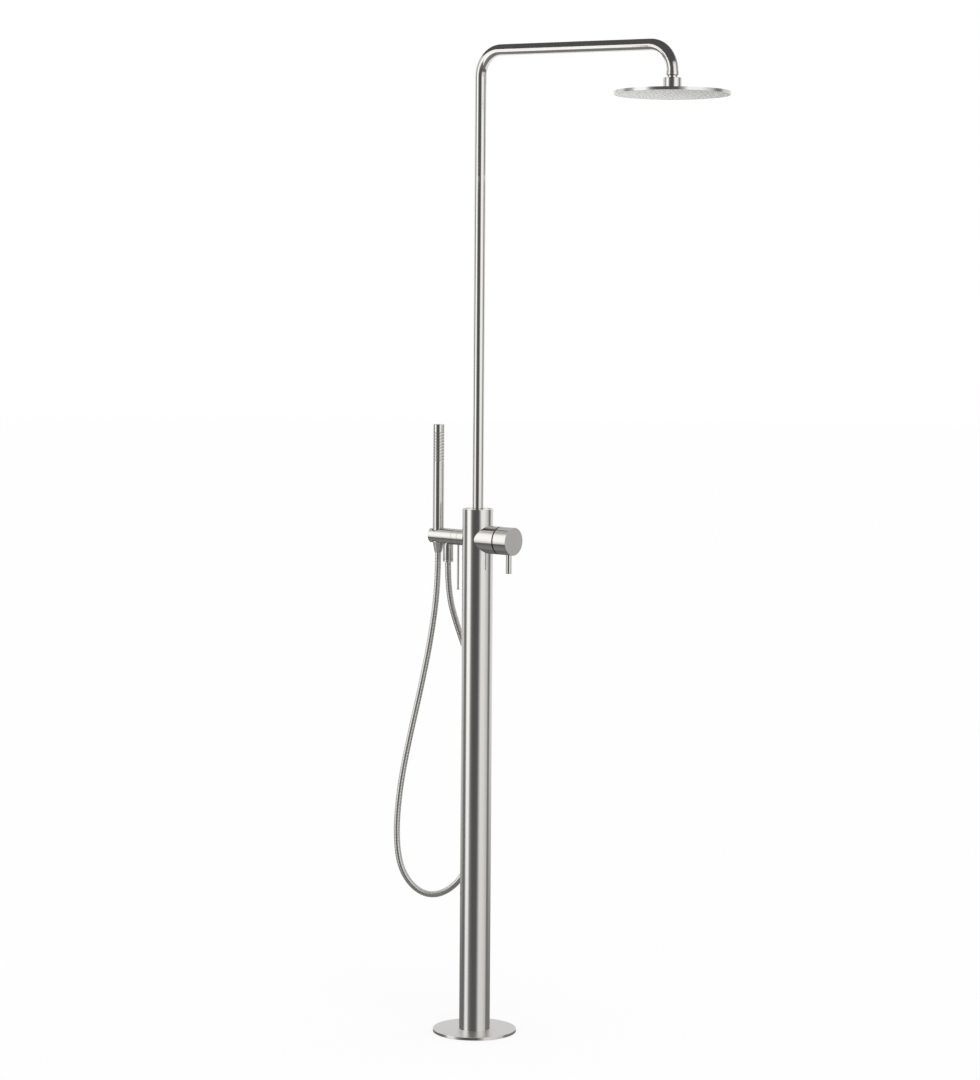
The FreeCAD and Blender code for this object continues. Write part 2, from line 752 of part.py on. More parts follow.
# ---------------------------------------------------------------- mixer
def make_mixer():
    """The valve on the front of the column, along -Y, and the handle that turns on it."""
    axis = ("0", "0", "valve_height")
    core_foot = ("0", "core_rear", "valve_height")
    block = turned(
        "mixer_block",
        (
            ("0", "0"),
            ("core_diameter", "0"),
            ("core_diameter", "core_length"),
            ("cartridge_thread + 2 * press_gap", "core_length"),
            ("cartridge_thread + 2 * press_gap", "core_length - cartridge_nut_length"),
            ("cartridge_diameter + 2 * press_gap", "core_length - cartridge_nut_length"),
            ("cartridge_diameter + 2 * press_gap", "core_rear + cartridge_foot - press_gap"),
            ("0", "core_rear + cartridge_foot - press_gap"),
        ),
        core_foot,
        "front",
    )
    ports = [
        cylinder(
            "feed_port",
            "feed_diameter + 2 * press_gap",
            "core_radius",
            ("0", "0", "valve_height + core_radius - feed_entry"),
        ),
        cylinder("feed_way", "feed_diameter - 2 * feed_wall", "core_radius", axis),
        cylinder("bar_way", "bar_waterway", "core_rear", axis, "rear"),
    ]
    for side, name in ((1, "hot"), (-1, "cold")):
        across = "%d * supply_spacing / 2" % side
        ports += [
            cylinder(
                name + "_port",
                "supply_diameter + 2 * press_gap",
                "core_radius",
                (across, "0", "valve_height - core_diameter + supply_entry"),
            ),
            cylinder(
                name + "_rise",
                "supply_diameter - 2 * supply_wall",
                "core_diameter - supply_way_drop",
                (across, "0", "valve_height - core_diameter"),
            ),
            cylinder(
                name + "_way",
                "supply_way",
                "cartridge_foot",
                (across, "0", "valve_height - supply_way_drop"),
                "front",
            ),
        ]
    core = cut("mixer_core", block, *ports)
    tube = pipe(
        "mixer_shell",
        "mixer_diameter",
        "mixer_diameter - 2 * mixer_wall",
        "mixer_reach",
        axis,
        "front",
    )
    saddle = cylinder("mixer_saddle", "column_diameter", "column_top")
    sleeve = cut("mixer_sleeve", tube, saddle)
    cartridge = turned(
        "mixer_cartridge",
        (
            ("0", "0"),
            ("cartridge_diameter", "0"),
            ("cartridge_diameter", "cartridge_length"),
            ("cartridge_neck", "cartridge_length"),
            ("cartridge_neck", "cartridge_length + cartridge_neck_length"),
            ("spindle_diameter + 2 * running_gap", "cartridge_length + cartridge_neck_length"),
            ("spindle_diameter + 2 * running_gap", "spindle_foot - cartridge_foot - running_gap"),
            ("0", "spindle_foot - cartridge_foot - running_gap"),
        ),
        ("0", "-cartridge_foot", "valve_height"),
        "front",
    )
    nut = pipe(
        "cartridge_nut",
        "cartridge_thread",
        "cartridge_neck + 2 * press_gap",
        "cartridge_nut_length - press_gap",
        ("0", "-(cartridge_foot + cartridge_length + press_gap)", "valve_height"),
        "front",
    )
    spindle = cylinder(
        "mixer_spindle_round",
        "spindle_diameter",
        "spindle_length",
        ("0", "-spindle_foot", "valve_height"),
        "front",
    )
    flat = box(
        "mixer_spindle_flat",
        ("spindle_diameter", "hub_diameter", "spindle_diameter"),
        (
            "-spindle_diameter / 2",
            "-(spindle_foot + spindle_length)",
            "valve_height - 1.4 * spindle_diameter",
        ),
    )
    spindle = cut("mixer_spindle", spindle, flat)
    hub_room = "spindle_foot + spindle_length + running_gap - handle_foot"
    cap_solid = turned(
        "handle_cap_solid",
        (
            ("mixer_diameter - 2 * handle_wall", "0"),
            ("mixer_diameter", "0"),
            ("mixer_diameter", "handle_length - handle_bevel"),
            ("mixer_diameter - 2 * handle_bevel", "handle_length"),
            ("0", "handle_length"),
            ("0", hub_room),
            ("spindle_diameter + 2 * press_gap", hub_room),
            ("spindle_diameter + 2 * press_gap", "hub_foot"),
            ("hub_diameter", "hub_foot"),
            ("hub_diameter", "handle_length - handle_face"),
            ("mixer_diameter - 2 * handle_wall", "handle_length - handle_face"),
        ),
        ("0", "-handle_foot", "valve_height"),
        "front",
    )
    lever_axis = ("0", "-lever_reach", "valve_height - lever_seat")
    lever_hole = cylinder(
        "lever_hole", "lever_diameter + 2 * press_gap", "mixer_diameter / 4", lever_axis, "down"
    )
    thread_hole = cylinder(
        "lever_thread_hole",
        "lever_thread + 2 * press_gap",
        "mixer_diameter / 2",
        ("0", "-lever_reach", "valve_height"),
        "down",
    )
    cap = cut("handle_cap", cap_solid, lever_hole, thread_hole)
    lever_rod = turned(
        "lever_rod",
        (
            ("0", "0"),
            ("lever_diameter", "0"),
            ("lever_diameter", "lever_drop - lever_seat - handle_bevel"),
            ("lever_diameter - 2 * handle_bevel", "lever_drop - lever_seat"),
            ("0", "lever_drop - lever_seat"),
        ),
        lever_axis,
        "down",
    )
    lever_stud = cylinder(
        "lever_stud",
        "lever_thread",
        "lever_seat + lever_sink - hub_diameter / 4",
        ("0", "-lever_reach", "valve_height - hub_diameter / 4"),
        "down",
    )
    lever = fuse("handle_pin", lever_rod, lever_stud)
    return [core, sleeve, cartridge, nut, spindle, cap, lever]


# ---------------------------------------------------------------- holder bar and diverter
def make_bar():
    """The bar on the rear of the column, along +Y, with the diverter that turns on its root."""
    axis = ("0", "0", "valve_height")
    core_foot = ("0", "core_rear", "valve_height")
    length = "bar_foot - core_rear"
    spigot = "%s + bar_spigot_length" % length
    spool_room = "spool_diameter + 2 * running_gap"
    room_foot = "collar_middle - spool_length / 2 - core_rear - running_gap"
    room_end = "collar_middle + spool_length / 2 - core_rear + running_gap"
    block = turned(
        "bar_block",
        (
            ("bar_waterway", "0"),
            ("bar_core_diameter", "0"),
            ("bar_core_diameter", length),
            ("bar_spigot_diameter", length),
            ("bar_spigot_diameter", spigot),
            ("bar_waterway", spigot),
            ("bar_waterway", room_end),
            (spool_room, room_end),
            (spool_room, room_foot),
            ("bar_waterway", room_foot),
        ),
        core_foot,
        "rear",
    )
    slot = doc.addObject("Part::Cylinder", "diverter_slot")
    width = "diverter_pin_diameter + 4 * running_gap"
    bind(slot, Radius="bar_diameter / 2", Height=width, Angle="diverter_turn + 2 * diverter_margin")
    sector = FreeCAD.Rotation(Vector(0, 1, 0), 90 - value("diverter_margin"))
    turn = sector.multiply(TURNS["rear"])
    place(slot, ("0", "collar_middle - (%s) / 2" % width, "valve_height"), "rear")
    slot.Placement = FreeCAD.Placement(slot.Placement.Base, turn)
    core = cut("bar_core", block, slot)
    tube = pipe(
        "bar_sleeve_tube",
        "bar_diameter",
        "bar_core_diameter + 2 * press_gap",
        "bar_sleeve_reach",
        axis,
        "rear",
    )
    sleeve = cut("bar_sleeve", tube, cylinder("bar_saddle", "column_diameter", "column_top"))
    collar_tube = pipe(
        "collar_tube",
        "bar_diameter",
        "bar_core_diameter + 2 * running_gap",
        "collar_length",
        ("0", "collar_foot", "valve_height"),
        "rear",
    )
    pin_axis = ("0", "collar_middle", "valve_height")
    pin_room = "diverter_pin_diameter + 2 * press_gap"
    collar_hole = cylinder("collar_pin_hole", pin_room, "bar_diameter", pin_axis, "down")
    collar = cut("diverter_collar", collar_tube, collar_hole)
    spool_solid = cylinder(
        "spool_solid",
        "spool_diameter",
        "spool_length",
        ("0", "collar_middle - spool_length / 2", "valve_height"),
        "rear",
    )
    spool_hole = cylinder("spool_pin_hole", pin_room, "bar_diameter", pin_axis, "down")
    spool = cut("diverter_spool", spool_solid, spool_hole)
    pin = turned(
        "diverter_pin",
        (
            ("0", "press_gap"),
            ("diverter_pin_diameter", "press_gap"),
            ("diverter_pin_diameter", "diverter_drop - diverter_foot_length - edge_break"),
            ("diverter_foot_diameter", "diverter_drop - diverter_foot_length"),
            ("diverter_foot_diameter", "diverter_drop - edge_break"),
            ("diverter_foot_diameter - 2 * edge_break", "diverter_drop"),
            ("0", "diverter_drop"),
        ),
        pin_axis,
        "down",
    )
    return [core, sleeve, collar, spool, pin]


def make_holder():
    """The end of the bar: a bore for the handset, open to the rear for the hose, and the outlet."""
    solid = turned(
        "holder_solid",
        (
            ("0", "0"),
            ("bar_diameter", "0"),
            ("bar_diameter", "bar_reach - bar_foot - handle_bevel"),
            ("bar_diameter - 2 * handle_bevel", "bar_reach - bar_foot"),
            ("0", "bar_reach - bar_foot"),
        ),
        ("0", "bar_foot", "valve_height"),
        "rear",
    )
    low = "valve_height - bar_diameter"
    liner_outside = "handset_room + 2 * liner_wall"
    slot_foot = ("-hose_slot / 2", "handset_reach", low)
    bore_room = "%s + 2 * press_gap" % liner_outside
    bore = cylinder("holder_bore", bore_room, "2 * bar_diameter", ("0", "handset_reach", low))
    slot = box("holder_slot", ("hose_slot", "bar_diameter", "2 * bar_diameter"), slot_foot)
    spigot_room = cylinder(
        "holder_spigot_room",
        "bar_spigot_diameter + 2 * press_gap",
        "bar_spigot_length + running_gap",
        ("0", "bar_foot", "valve_height"),
        "rear",
    )
    waterway = cylinder(
        "holder_waterway",
        "bar_waterway",
        "outlet_reach + outlet_bore / 4 - bar_foot",
        ("0", "bar_foot", "valve_height"),
        "rear",
    )
    outlet_room = cylinder(
        "holder_outlet_room",
        "outlet_thread + 2 * press_gap",
        "bar_diameter",
        ("0", "outlet_reach", "valve_height - bar_waterway / 2 - outlet_land"),
        "down",
    )
    outlet_way = cylinder(
        "holder_outlet_way",
        "outlet_bore",
        "bar_waterway / 2 + 2 * outlet_land",
        ("0", "outlet_reach", "valve_height"),
        "down",
    )
    holder = cut("holder_bar", solid, bore, slot, spigot_room, waterway, outlet_room, outlet_way)

    ring = turned(
        "liner_ring",
        (
            ("handset_room - cone_lean * (bar_diameter / 2 - cone_shoulder_drop)", "-bar_diameter / 2"),
            (liner_outside, "-bar_diameter / 2"),
            (liner_outside, "bar_diameter / 2"),
            ("handset_room", "bar_diameter / 2"),
            ("handset_room", "-cone_shoulder_drop"),
        ),
        ("0", "handset_reach", "valve_height"),
    )
    axis = ("0", "0", "valve_height")
    envelope = cylinder("liner_envelope", "bar_diameter - 4 * press_gap", "bar_reach", axis, "rear")
    liner_slot = box("liner_slot", ("hose_slot", "bar_diameter", "2 * bar_diameter"), slot_foot)
    liner = cut("holder_liner", common("liner_trimmed", ring, envelope), liner_slot)
    return [holder, liner]


def make_outlet():
    """The hose outlet under the bar: a threaded spigot with a check valve, and the hose's nut."""
    at_foot = ("0", "outlet_reach", "valve_height - outlet_spigot_drop")
    spigot = pipe(
        "outlet_spigot",
        "outlet_thread",
        "outlet_bore",
        "outlet_spigot_drop - bar_waterway / 2 - outlet_land - press_gap",
        at_foot,
    )
    valve = pipe(
        "check_valve",
        "outlet_bore - 2 * press_gap",
        "outlet_bore / 2",
        "valve_insert_length",
        at_foot,
    )
    washer = pipe(
        "outlet_washer",
        "outlet_thread",
        "hose_end_bore",
        "washer_thickness",
        ("0", "outlet_reach", "valve_height - outlet_spigot_drop - washer_thickness - press_gap"),
    )
    seat = "outlet_nut_drop - outlet_spigot_drop - washer_thickness - 2 * press_gap"
    top = "outlet_nut_drop - bar_diameter / 2 - running_gap"
    nut = turned(
        "outlet_nut",
        (
            ("hose_end_bore", "0"),
            ("outlet_nut_diameter - 2 * edge_break", "0"),
            ("outlet_nut_diameter", "edge_break"),
            ("outlet_nut_diameter", "%s - edge_break" % top),
            ("outlet_nut_diameter - 2 * edge_break", top),
            ("outlet_thread + 2 * thread_gap", top),
            ("outlet_thread + 2 * thread_gap", seat),
            ("hose_end_bore", seat),
        ),
        ("0", "outlet_reach", "outlet_foot"),
    )
    return [spigot, valve, washer, nut]


# ---------------------------------------------------------------- handset
def make_hose_end():
    """The hose's conical nut, which sits in the bar and carries the handset."""
    thread_room = "inlet_spigot_diameter + 2 * running_gap"
    seat = "cone_drop - inlet_spigot_drop - washer_thickness - running_gap"
    height = "cone_top - cone_foot"
    nut = turned(
        "cone_nut",
        (
            ("hose_end_bore", "0"),
            ("cone_tip_diameter - 2 * edge_break", "0"),
            ("cone_tip_diameter", "edge_break"),
            ("handset_diameter", "cone_drop - cone_shoulder_drop"),
            ("handset_diameter", height),
            (thread_room, height),
            (thread_room, seat),
            ("hose_end_bore", seat),
        ),
        ("0", "handset_reach", "cone_foot"),
    )
    washer = pipe(
        "cone_washer",
        "inlet_spigot_diameter",
        "hose_end_bore",
        "washer_thickness",
        ("0", "handset_reach", "cone_foot + %s" % seat),
    )
    return [nut, washer]


def grooved_side():
    """The handset's outside from its foot to its top, with the ring grooves, as corners."""
    corners = []
    for ring in reversed(range(int(value("groove_count")))):
        level = "groove_level - %d * groove_pitch" % ring
        corners += [
            ("handset_diameter", "%s - groove_width / 2" % level),
            ("handset_diameter - 2 * groove_depth", "%s - groove_floor / 2" % level),
            ("handset_diameter - 2 * groove_depth", "%s + groove_floor / 2" % level),
            ("handset_diameter", "%s + groove_width / 2" % level),
        ]
    return corners


def spray_nozzles():
    """The strip of nozzles inside the handset, and the holes that they stand in, facing -Y."""
    gap = value("press_gap")
    outer, inner = value("handset_diameter / 2"), value("handset_inside / 2")
    sheet_back = inner - gap - value("spray_strip_sheet")
    width, length = value("spray_strip_width"), value("spray_strip_length")
    top = value("handset_foot + groove_level")
    centre = Vector(0, value("handset_reach"), top - value("spray_height + spray_end_margin"))
    ring = Part.makeCylinder(inner - gap, length, centre)
    ring = ring.cut(Part.makeCylinder(sheet_back, length, centre))
    strip = ring.common(Part.makeBox(width, outer, length, centre + Vector(-width / 2, -outer, 0)))
    size, spacing = value("spray_nozzle_diameter / 2"), value("spray_spacing") / outer
    root = inner - gap - value("spray_strip_sheet") / 2
    tip = outer - value("groove_depth") + value("spray_nozzle_rise")
    nozzles, holes = [], []
    for row in range(int(value("groove_count"))):
        level = top - row * value("groove_pitch") - centre.z
        # one nozzle fewer in every second groove, so that the rows are staggered
        columns = int(value("spray_columns")) - row % 2
        for column in range(columns):
            angle = (column - (columns - 1) / 2) * spacing
            direction = Vector(math.sin(angle), -math.cos(angle), 0)
            start = centre + Vector(0, 0, level) + direction * root
            nozzles.append(Part.makeCylinder(size, tip - root, start, direction))
            holes.append(Part.makeCylinder(size + gap, outer - root, start, direction))
    return strip.fuse(nozzles), Part.makeCompound(holes)


def make_handset():
    strip, holes = spray_nozzles()
    foot = ("0", "handset_reach", "handset_foot")
    skin = turned(
        "handset_skin",
        [("handset_inside", "0"), ("handset_diameter", "0")]
        + grooved_side()
        + [("handset_diameter", "handset_length"), ("handset_inside", "handset_length")],
        foot,
    )
    tube = cut("handset_tube", skin, feature("spray_holes", holes))
    nozzles = feature("handset_nozzles", strip)
    cap = turned(
        "handset_cap",
        (
            ("0", "-handset_cap_plug"),
            ("handset_inside - 2 * press_gap", "-handset_cap_plug"),
            ("handset_inside - 2 * press_gap", "0"),
            ("handset_diameter", "0"),
            ("handset_diameter", "handset_cap_height - handset_cap_bevel"),
            ("handset_diameter - 2 * handset_cap_bevel", "handset_cap_height"),
            ("0", "handset_cap_height"),
        ),
        ("0", "handset_reach", "handset_top - handset_cap_height"),
    )
    inlet = turned(
        "handset_inlet",
        (
            ("hose_end_bore", "handset_foot_drop - inlet_spigot_drop"),
            ("inlet_spigot_diameter", "handset_foot_drop - inlet_spigot_drop"),
            ("inlet_spigot_diameter", "0"),
            ("handset_inside - 2 * press_gap", "0"),
            ("handset_inside - 2 * press_gap", "inlet_plug_height"),
            ("inner_tube_diameter + 2 * press_gap", "inlet_plug_height"),
            ("inner_tube_diameter + 2 * press_gap", "inlet_plug_height / 2"),
            ("hose_end_bore", "inlet_plug_height / 2"),
        ),
        foot,
    )
    water = pipe(
        "handset_water_tube",
        "inner_tube_diameter",
        "inner_tube_diameter - 2 * inner_tube_wall",
        "handset_length - inlet_plug_height / 2 - handset_cap_plug",
        ("0", "handset_reach", "handset_foot + inlet_plug_height / 2"),
    )
    return [tube, cap, nozzles, inlet, water]


# ---------------------------------------------------------------- hose
def make_hose():
    points = [Vector(*point) for point in HOSE_ROUTE]
    points[0] = Vector(0, value("handset_reach"), value("cone_foot"))
    points[-1] = Vector(0, value("outlet_reach"), value("outlet_foot"))
    radii = []
    for before, corner, after in zip(points, points[1:], points[2:]):
        half = (corner - before).getAngle(after - corner) / 2
        run = min(before.distanceToPoint(corner), corner.distanceToPoint(after))
        radii.append(0.45 * run / math.tan(half))
    path = rounded_path(points, radii)
    radius = value("hose_diameter / 2")
    rod = rod_along(path, points[0], points[1] - points[0], radius)
    expected = math.pi * radius**2 * path.Length
    print("hose radii", [round(item) for item in radii], "length", round(path.Length))
    print("hose volume against section times length", round(rod.Volume / expected, 5))
    return [feature("shower_hose", rod)]


# ---------------------------------------------------------------- build, check and write
pieces = []
for maker in (
    make_base,
    make_column,
    make_supply,
    make_arm,
    make_swivel,
    make_head,
    make_mixer,
    make_bar,
    make_holder,
    make_outlet,
    make_hose_end,
    make_handset,
    make_hose,
):
    pieces += maker()
doc.recompute()

for item in doc.Objects:
    if "Invalid" in item.State or "Error" in item.State:
        raise RuntimeError("%s failed: %s" % (item.Name, item.State))
for piece in pieces:
    shape = piece.Shape
    if shape.isNull() or not shape.isValid() or not shape.Solids:
        raise RuntimeError("%s has no valid solid" % piece.Label)
    if len(shape.Solids) != 1:
        print(piece.Label, "holds", len(shape.Solids), "solids")

os.makedirs("parts", exist_ok=True)
for piece in pieces:
    piece.Shape.exportStep("parts/%s.step" % piece.Label)
print(len(pieces), "pieces written")
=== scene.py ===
import json
import math

import bpy
from mathutils import Matrix, Vector


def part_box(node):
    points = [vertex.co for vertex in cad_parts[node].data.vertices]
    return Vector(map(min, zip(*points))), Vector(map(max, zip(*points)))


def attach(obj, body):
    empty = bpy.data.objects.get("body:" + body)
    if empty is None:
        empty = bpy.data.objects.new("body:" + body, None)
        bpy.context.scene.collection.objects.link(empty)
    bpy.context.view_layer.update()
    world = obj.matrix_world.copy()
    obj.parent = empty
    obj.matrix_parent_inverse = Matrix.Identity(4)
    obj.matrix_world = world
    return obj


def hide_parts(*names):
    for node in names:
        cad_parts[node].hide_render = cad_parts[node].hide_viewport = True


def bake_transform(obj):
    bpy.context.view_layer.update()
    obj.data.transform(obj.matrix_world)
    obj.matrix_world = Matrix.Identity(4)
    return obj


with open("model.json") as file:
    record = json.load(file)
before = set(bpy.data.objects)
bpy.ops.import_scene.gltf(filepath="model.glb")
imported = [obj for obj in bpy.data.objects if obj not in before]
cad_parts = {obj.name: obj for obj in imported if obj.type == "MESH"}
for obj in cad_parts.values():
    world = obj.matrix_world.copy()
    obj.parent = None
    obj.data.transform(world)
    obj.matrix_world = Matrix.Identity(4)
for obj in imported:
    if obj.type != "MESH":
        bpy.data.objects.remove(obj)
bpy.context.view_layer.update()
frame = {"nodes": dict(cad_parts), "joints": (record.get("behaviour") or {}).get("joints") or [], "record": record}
print("frame loaded")

photo = {
    "width": 980,           # px
    "focal": 3305.24,       # px
    "distance": 7.43197,    # m, from the column's axis along the floor
    "height": 1.83735,      # m
    "aside": 0.02783,       # m, to the right of the column's axis
    "turn": -50.5367,       # degrees, where the camera stands round the column
    "pitch": -0.095,        # rad, looks down
    "roll": 0.0071,         # rad
    "sensor": 36.0,         # mm
    "clipEnd": 60,          # m, past the far edge of the floor
}


def makeCamera():
    turn, pitch, roll = math.radians(photo["turn"]), photo["pitch"], photo["roll"]
    up = Vector((0, 0, 1))
    right = Vector((math.cos(turn), math.sin(turn), 0))
    back = Vector((math.sin(turn), -math.cos(turn), 0))
    place = back * photo["distance"] + up * photo["height"] + right * photo["aside"]
    look = -back * math.cos(pitch) + up * math.sin(pitch)
    top = up * math.cos(pitch) + back * math.sin(pitch)
    side = right * math.cos(roll) + top * math.sin(roll)
    crown = top * math.cos(roll) - right * math.sin(roll)
    data = bpy.data.cameras.new("camera")
    data.sensor_fit = "HORIZONTAL"
    data.sensor_width = photo["sensor"]
    data.lens = photo["focal"] / photo["width"] * photo["sensor"]
    data.clip_end = photo["clipEnd"]
    camera = bpy.data.objects.new("camera", data)
    bpy.context.scene.collection.objects.link(camera)
    turned = Matrix((side, crown, -look)).transposed().to_4x4()
    camera.matrix_world = Matrix.Translation(place) @ turned
    bpy.context.scene.camera = camera
    return back, right


toCamera, toRight = makeCamera()
bpy.context.scene.view_settings.view_transform = "Standard"
print("camera placed")


def linear(hexColour):
    parts = [int(hexColour[i:i + 2], 16) / 255 for i in (1, 3, 5)]
    return tuple(c / 12.92 if c <= 0.04045 else ((c + 0.055) / 1.055) ** 2.4 for c in parts) + (1.0,)


def addNode(tree, kind, settings=None, values=None, links=None):
    node = tree.nodes.new("ShaderNode" + kind)
    for name, value in (settings or {}).items():
        setattr(node, name, value)
    for name, value in (values or {}).items():
        node.inputs[name].default_value = value
    for name, source in (links or {}).items():
        tree.links.new(source, node.inputs[name])
    return node


# Soft boxes and dark flags stand round the set, as they do for polished metal.
# A row holds for one level: (sine of its elevation, bands). A band is
# (degrees from the camera, positive to the right of the picture, strength).
studio = {
    "diffuse": 0.86,        # for everything that isn't a mirror
    "rows": (
        (-0.72, ((-180, .26), (180, .26))),
        (-0.34, ((-180, .14), (180, .14))),
        (-0.28, ((-180, .20), (-104, .20), (-92, .55), (-84, 1.15), (-60, 1.15), (-48, .30), (-34, .16),
                 (-20, .12), (8, .13), (20, .50), (30, .95), (58, .90), (84, .70), (94, .24), (180, .22))),
        (-0.235, ((-180, .20), (-104, .18), (-90, .17), (-83, .60), (-77, 1.15), (-62, 1.15), (-48, .34),
                  (-34, .16), (-20, .12), (8, .13), (20, .52), (30, .98), (58, .93), (84, .72),
                  (92, .26), (106, .22), (180, .24))),
        (-0.13, ((-180, .98), (-122, .90), (-110, .26), (-90, .20), (-82, 1.00), (-76, 1.40), (-60, 1.40),
                 (-47, .32), (-36, .15), (-20, .11), (8, .13), (19, .55), (29, 1.05), (56, 1.00),
                 (70, .80), (84, .72), (93, .24), (107, .24), (119, .90), (180, .98))),
        (-0.02, ((-180, .98), (-118, 1.0), (-108, .28), (-90, .22), (-83, 1.20), (-77, 1.50), (-58, 1.50),
                 (-46, .32), (-36, .14), (-20, .10), (8, .11), (19, .60), (28, 1.40), (56, 1.35),
                 (70, .95), (82, .70), (92, .24), (106, .24), (118, .95), (180, .98))),
        (0.30, ((-180, .74), (-118, .74), (-100, .90), (-90, 1.45), (-58, 1.45), (-46, .30), (-36, .15),
                (-20, .11), (8, .12), (20, .60), (28, 1.30), (58, 1.20), (84, .70), (94, .30),
                (110, .40), (180, .74))),
        (0.54, ((-180, .50), (-112, .70), (-94, 1.35), (-60, 1.30), (-40, .40), (20, .40),
                (60, .90), (180, .55))),
        (0.76, ((-180, .62), (180, .62))),
    ),
}


def bandRow(tree, share, bands, peak):
    ramp = addNode(tree, "ValToRGB", {}, {}, {"Fac": share})
    stops = ramp.color_ramp.elements
    for i, (angle, strength) in enumerate(bands):
        at = (angle + 180) / 360
        stop = stops[0] if i == 0 else stops[-1] if i == len(bands) - 1 else stops.new(at)
        stop.position = at
        stop.color = (strength / peak,) * 3 + (1,)
    return ramp.outputs["Color"]


def makeWorld():
    world = bpy.data.worlds.new("studio")
    bpy.context.scene.world = world
    world.use_nodes = True
    tree = world.node_tree
    tree.nodes.clear()
    way = addNode(tree, "TexCoord").outputs["Generated"]
    ahead = addNode(tree, "VectorMath", {"operation": "DOT_PRODUCT"}, {1: toCamera}, {0: way})
    aside = addNode(tree, "VectorMath", {"operation": "DOT_PRODUCT"}, {1: toRight}, {0: way})
    turn = addNode(tree, "Math", {"operation": "ARCTAN2"}, {},
                   {0: aside.outputs["Value"], 1: ahead.outputs["Value"]})
    share = addNode(tree, "MapRange", {}, {"From Min": -math.pi, "From Max": math.pi},
                    {"Value": turn.outputs[0]}).outputs[0]
    level = addNode(tree, "SeparateXYZ", {}, {}, {"Vector": way}).outputs["Z"]
    peak = max(strength for _, bands in studio["rows"] for _, strength in bands)
    (below, bands), *rest = studio["rows"]
    shade = bandRow(tree, share, bands, peak)
    for height, bands in rest:
        rise = addNode(tree, "MapRange", {"interpolation_type": "SMOOTHSTEP"},
                       {"From Min": below, "From Max": height}, {"Value": level})
        row = bandRow(tree, share, bands, peak)
        shade = addNode(tree, "Mix", {"data_type": "RGBA"}, {},
                        {"Factor": rise.outputs[0], 6: shade, 7: row}).outputs[2]
        below = height
    bright = addNode(tree, "Math", {"operation": "MULTIPLY"}, {1: peak}, {0: shade}).outputs[0]
    path = addNode(tree, "LightPath")
    gloss = addNode(tree, "Mix", {}, {"A": studio["diffuse"]},
                    {"Factor": path.outputs["Is Glossy Ray"], "B": bright})
    shown = addNode(tree, "Mix", {}, {"B": 1.0},
                    {"Factor": path.outputs["Is Camera Ray"], "A": gloss.outputs[0]})
    ground = addNode(tree, "Background", {}, {"Color": (1, 1, 1, 1)}, {"Strength": shown.outputs[0]})
    addNode(tree, "OutputWorld", {}, {}, {"Surface": ground.outputs[0]})


makeWorld()

softSun = {"strength": 0.42, "spread": 40, "turn": (24, -18, 0)}       # degrees


def makeSun():
    data = bpy.data.lights.new("soft key light", "SUN")
    data.energy = softSun["strength"]
    data.angle = math.radians(softSun["spread"])
    sun = bpy.data.objects.new("soft key light", data)
    sun.rotation_euler = [math.radians(a) for a in softSun["turn"]]
    sun.visible_glossy = False
    bpy.context.scene.collection.objects.link(sun)


makeSun()

mirrored = {
    # cloths and cards that only reflections see: corners in metres, and strength
    "dark flag over the arm": (((0.7, -1.25, 2.6), (0.7, 0.95, 2.6), (-0.85, 1.12, 2.6),
                                (-1.75, 1.50, 2.6), (-2.3, 1.50, 2.6), (-2.3, -1.25, 2.6)), 0.10),
    "white sheet on the near side": (((-0.28, -0.20, 1.95), (-0.28, 0.28, 1.95), (-0.62, 0.62, 1.95),
                                      (-1.35, 1.08, 1.95), (-1.35, 0.60, 1.95),
                                      (-0.95, 0.31, 1.95)), 1.45),
    "white sheet on the far side": (((0.10, -0.35, 1.95), (1.1, -0.35, 1.95), (1.1, 0.75, 1.95),
                                     (0.10, 0.45, 1.95)), 1.05),
    "dark card behind the head": (((0.695, 0.042, 2.17), (0.555, 0.212, 2.17), (0.555, 0.212, 2.52),
                                   (0.695, 0.042, 2.52)), 0.12),
}


def hangSheets():
    for name, (corners, strength) in mirrored.items():
        mesh = bpy.data.meshes.new(name)
        mesh.from_pydata(corners, [], [tuple(range(len(corners)))])
        cloth = bpy.data.materials.new(name)
        cloth.use_nodes = True
        cloth.node_tree.nodes.clear()
        glow = addNode(cloth.node_tree, "Emission", {}, {"Color": (1, 1, 1, 1), "Strength": strength})
        addNode(cloth.node_tree, "OutputMaterial", {}, {}, {"Surface": glow.outputs[0]})
        mesh.materials.append(cloth)
        sheet = bpy.data.objects.new(name, mesh)
        bpy.context.scene.collection.objects.link(sheet)
        sheet.visible_camera = False
        sheet.visible_diffuse = False
        sheet.visible_shadow = False
        sheet.visible_transmission = False


hangSheets()

paper = {
    "radius": 24,           # m
    "sides": 96,
    "level": -0.0005,       # m, just under the disc
    "glow": 0.7,            # how far the camera sees white there instead of the shaded paper
}


def paleFloor():
    bpy.ops.mesh.primitive_circle_add(vertices=paper["sides"], radius=paper["radius"], fill_type="NGON",
                                      location=(0, 0, paper["level"]))
    floor = bpy.context.object
    floor.name = "floor"
    paint = bpy.data.materials.new("pale studio floor")
    paint.use_nodes = True
    tree = paint.node_tree
    tree.nodes.clear()
    path = addNode(tree, "LightPath")
    matt = addNode(tree, "BsdfDiffuse", {}, {"Color": linear("#FFFFFF")})
    glow = addNode(tree, "Emission", {}, {"Color": (1, 1, 1, 1), "Strength": 1.0})
    share = addNode(tree, "Math", {"operation": "MULTIPLY"}, {1: paper["glow"]},
                    {0: path.outputs["Is Camera Ray"]})
    mix = addNode(tree, "MixShader", {}, {},
                  {0: share.outputs[0], 1: matt.outputs[0], 2: glow.outputs[0]})
    addNode(tree, "OutputMaterial", {}, {}, {"Surface": mix.outputs[0]})
    floor.data.materials.append(paint)
    floor.visible_glossy = False


paleFloor()
print("studio lit")

